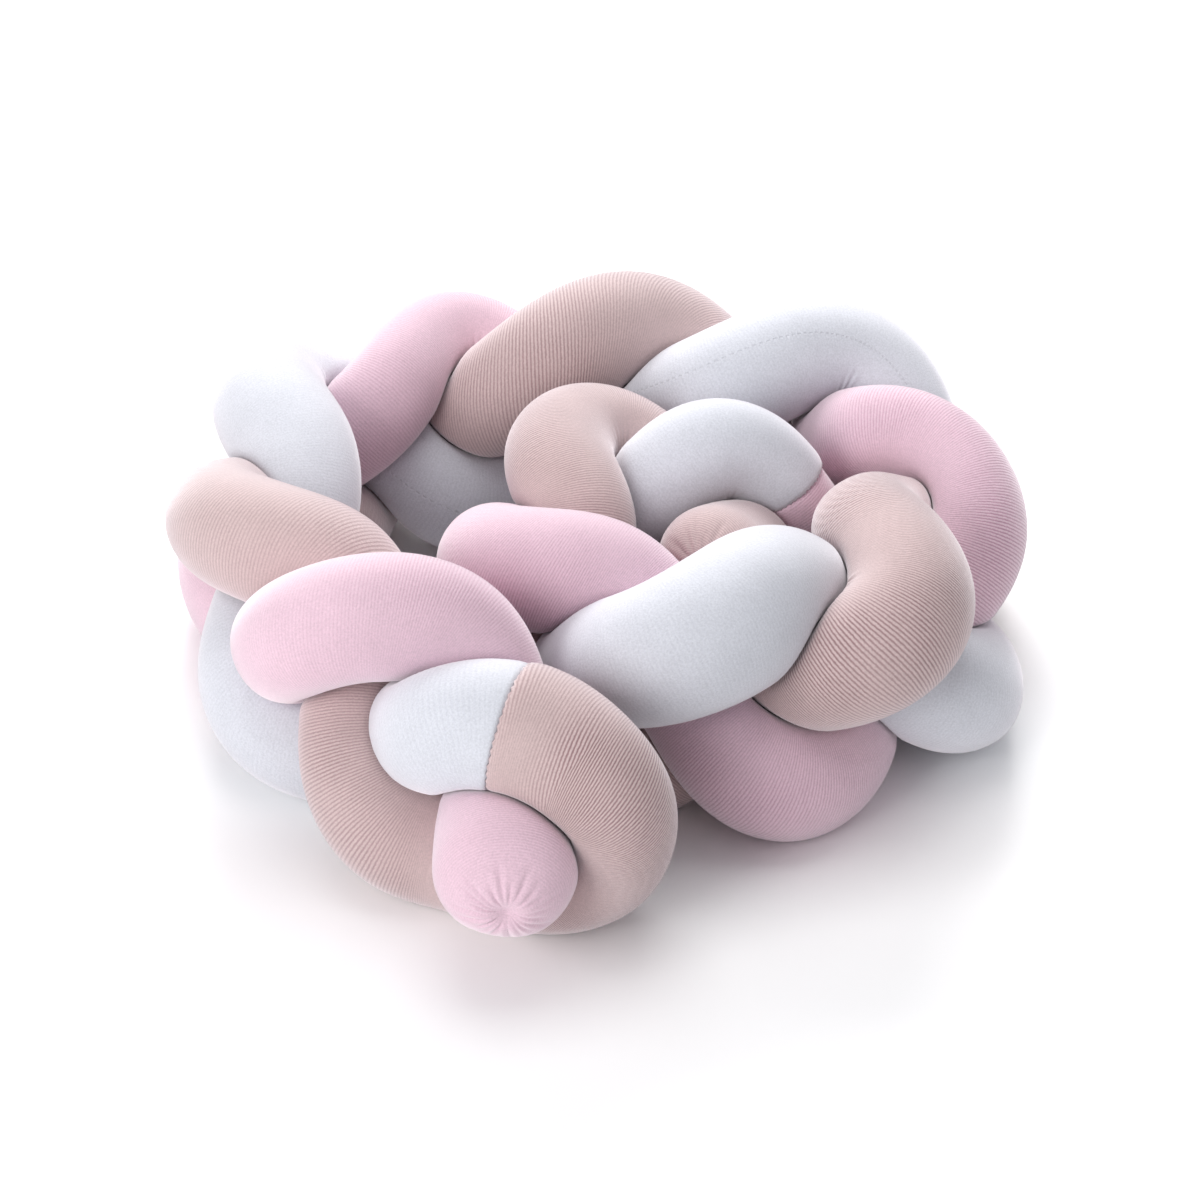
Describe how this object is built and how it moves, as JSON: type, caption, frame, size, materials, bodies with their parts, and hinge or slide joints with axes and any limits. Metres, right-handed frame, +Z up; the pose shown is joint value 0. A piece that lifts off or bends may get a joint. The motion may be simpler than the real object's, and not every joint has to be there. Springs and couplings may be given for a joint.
{
  "type": "braided crib bumper",
  "caption": "Stuffed jersey tubes in pink, white and dusty beige, plaited flat and coiled on edge into a soft spiral that lines or guards a cot or serves as a floor cushion.",
  "frame": {"origin": "middle of the coil's footprint, on the floor", "axes": "+Z up, across the braid's width; -Y is the side with the gathered pink tip; the braid runs clockwise from there, seen from above"},
  "size_m": [0.5219, 0.5552, 0.1929],
  "materials": {
    "pink_velour": "fine knitted jersey velour, soft matt nap",
    "white_velour": "fine knitted jersey velour, soft matt nap",
    "beige_velour": "fine knitted jersey velour, soft matt nap"
  },
  "bodies": {
    "root": {"pink_length": "pink_velour", "white_length": "white_velour", "beige_length": "beige_velour"}
  },
  "joints": []
}
